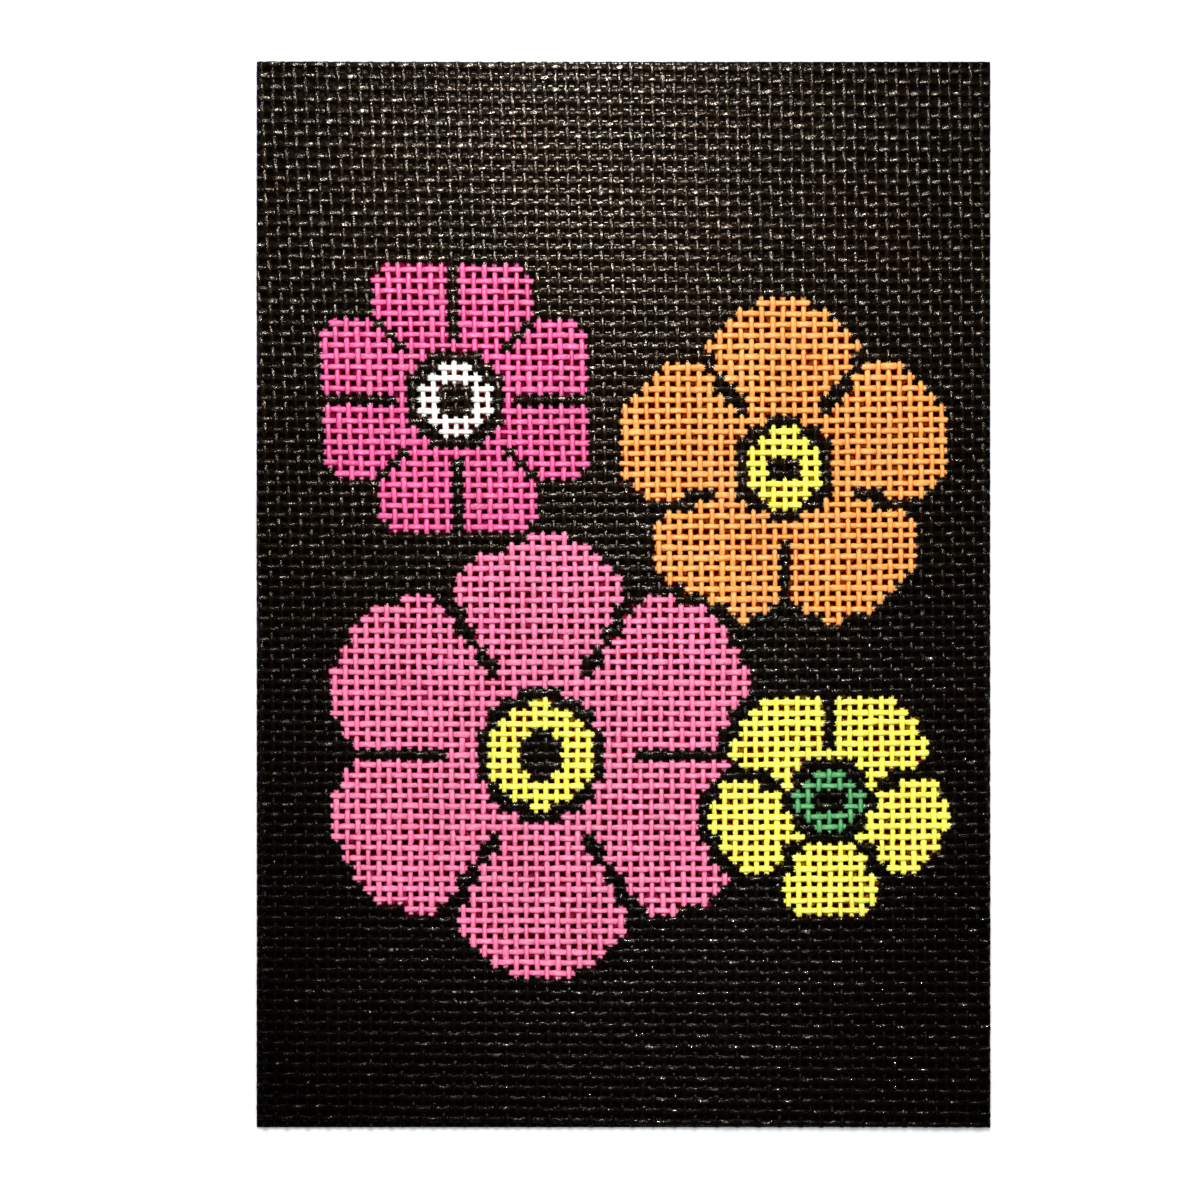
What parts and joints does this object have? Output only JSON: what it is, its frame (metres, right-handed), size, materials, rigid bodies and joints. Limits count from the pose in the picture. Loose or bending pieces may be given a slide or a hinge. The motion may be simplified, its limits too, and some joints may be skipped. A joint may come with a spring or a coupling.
{
  "type": "needlepoint canvas panel",
  "caption": "Flat cut panel of open plain-weave canvas, its threads painted with a colourful flower design on a black ground, ready for stitching.",
  "frame": {"origin": "centre of the back face, which lies flat on z = 0", "axes": "+Z out of the painted face, +Y along the warp threads to the panel's top, +X along the weft threads to the right as the painted face is seen"},
  "size_m": [0.1368, 0.1988, 0.0012],
  "materials": {
    "painted_canvas": "acrylic-painted cotton canvas, satin black ground with bright painted flowers"
  },
  "bodies": {
    "root": {"canvas": "painted_canvas"}
  },
  "joints": []
}
